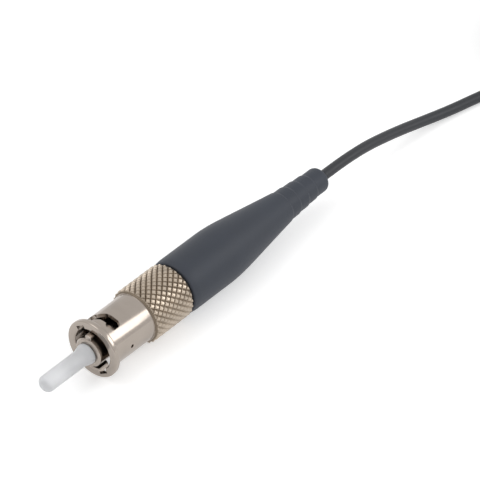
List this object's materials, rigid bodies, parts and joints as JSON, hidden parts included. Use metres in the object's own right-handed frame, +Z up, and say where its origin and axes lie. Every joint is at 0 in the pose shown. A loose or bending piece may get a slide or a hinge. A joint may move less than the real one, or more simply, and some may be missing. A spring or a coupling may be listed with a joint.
{
  "type": "bayonet fibre connector pigtail",
  "caption": "Bayonet coupling fibre connector with knurled nut, spring-loaded ferrule plug, dust cap, strain relief boot and a folded simplex pigtail.",
  "frame": {"origin": "on the connector's axis, in the plane of the coupling nut's front rim", "axes": "-Y out of the connector's mouth along the ferrule, +Y back along the cable, +Z up from the surface it lies on"},
  "size_m": [0.0162, 0.1721, 0.0098],
  "materials": {
    "nickel": "bright nickel plate",
    "barrel_nickel": "turned and nickel plated",
    "spring_steel": "drawn steel",
    "holder_steel": "turned stainless steel",
    "zirconia": "polished ceramic",
    "glass_fibre": "clear glass",
    "crimp_brass": "plated, crimped",
    "frosted_cap": "soft translucent plastic, slightly frosted",
    "boot_slate": "moulded elastomer, satin",
    "jacket_charcoal": "extruded jacket, satin",
    "aramid": "loose yarn",
    "buffer_white": "extruded tight buffer",
    "guide_plastic": "thin lead-in tube",
    "tie_black": "soft strap"
  },
  "bodies": {
    "pigtail": {"ferrule": "zirconia", "glass_fibre": "glass_fibre", "ferrule_holder": "holder_steel", "plug_barrel": "barrel_nickel", "compression_spring": "spring_steel", "retaining_ring": "spring_steel", "crimp_sleeve": "crimp_brass", "aramid_yarn": "aramid", "guide_tube": "guide_plastic", "tight_buffer": "buffer_white", "jacket_end": "jacket_charcoal", "boot": "boot_slate", "cable": "jacket_charcoal", "cable_hank": "jacket_charcoal", "hank_tie": "tie_black", "cable_tail": "jacket_charcoal"},
    "washer": {"thrust_washer": "spring_steel"},
    "nut": {"coupling_nut": "nickel"},
    "cap": {"dust_cap": "frosted_cap"}
  },
  "joints": [
    {"name": "nut_push", "type": "slide", "parent": "pigtail", "child": "washer", "axis": [0, -1, 0], "range_m": [0, 0.0018], "stiffness_N_per_m": 1500, "springref_m": -0.002, "deforming": ["compression_spring"]},
    {"name": "nut_turn", "type": "hinge", "parent": "washer", "child": "nut", "pos_m": [0, 0, 0], "axis": [0, 1, 0], "continuous": true},
    {"name": "cap_pull", "type": "slide", "parent": "pigtail", "child": "cap", "axis": [0, -1, 0], "range_m": [0, 0.02]}
  ]
}
